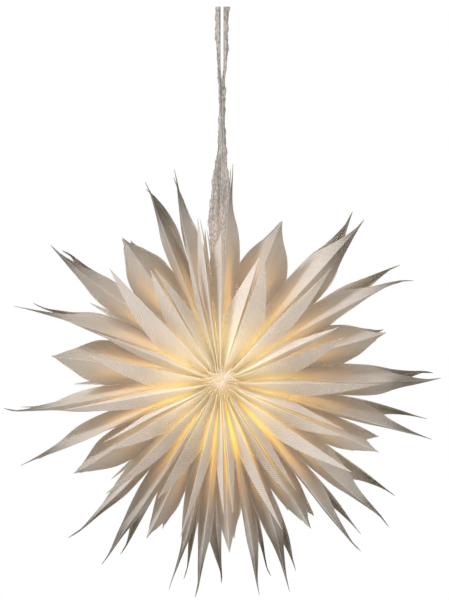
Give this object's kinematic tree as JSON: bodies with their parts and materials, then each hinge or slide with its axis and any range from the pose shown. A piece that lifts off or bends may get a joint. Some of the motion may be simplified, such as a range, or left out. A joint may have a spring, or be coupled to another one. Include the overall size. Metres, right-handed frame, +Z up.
{
  "type": "hanging paper star",
  "caption": "Hanging star of cut paper sheets glued into a round honeycomb with long spikes and leaves, carried by two crinkled paper bands.",
  "frame": {"origin": "middle of the star, on its level axis, where the lamp hangs", "axes": "+Z up along the bands, -Y out of the star's front face, +X to the right seen from the front"},
  "size_m": [0.5988, 0.3, 0.831],
  "materials": {
    "star_paper": "matte",
    "band_paper": "matte"
  },
  "bodies": {
    "root": {"sheet_01": "star_paper", "sheet_02": "star_paper", "sheet_03": "star_paper", "sheet_04": "star_paper", "sheet_05": "star_paper", "sheet_06": "star_paper", "sheet_07": "star_paper", "sheet_08": "star_paper", "sheet_09": "star_paper", "sheet_10": "star_paper", "sheet_11": "star_paper", "sheet_12": "star_paper", "sheet_13": "star_paper", "sheet_14": "star_paper", "sheet_15": "star_paper", "sheet_16": "star_paper", "sheet_17": "star_paper", "sheet_18": "star_paper", "sheet_19": "star_paper", "sheet_20": "star_paper", "sheet_21": "star_paper", "sheet_22": "star_paper", "sheet_23": "star_paper", "sheet_24": "star_paper", "sheet_25": "star_paper", "sheet_26": "star_paper", "sheet_27": "star_paper", "sheet_28": "star_paper", "sheet_29": "star_paper", "sheet_30": "star_paper", "sheet_31": "star_paper", "sheet_32": "star_paper", "sheet_33": "star_paper", "sheet_34": "star_paper", "sheet_35": "star_paper", "sheet_36": "star_paper", "sheet_37": "star_paper", "sheet_38": "star_paper", "sheet_39": "star_paper", "sheet_40": "star_paper", "sheet_41": "star_paper", "sheet_42": "star_paper", "sheet_43": "star_paper", "sheet_44": "star_paper", "sheet_45": "star_paper", "sheet_46": "star_paper", "sheet_47": "star_paper", "sheet_48": "star_paper", "sheet_49": "star_paper", "sheet_50": "star_paper", "sheet_51": "star_paper", "sheet_52": "star_paper", "sheet_53": "star_paper", "sheet_54": "star_paper", "sheet_55": "star_paper", "sheet_56": "star_paper", "sheet_57": "star_paper", "sheet_58": "star_paper", "band_left": "band_paper", "band_right": "band_paper"}
  },
  "joints": []
}
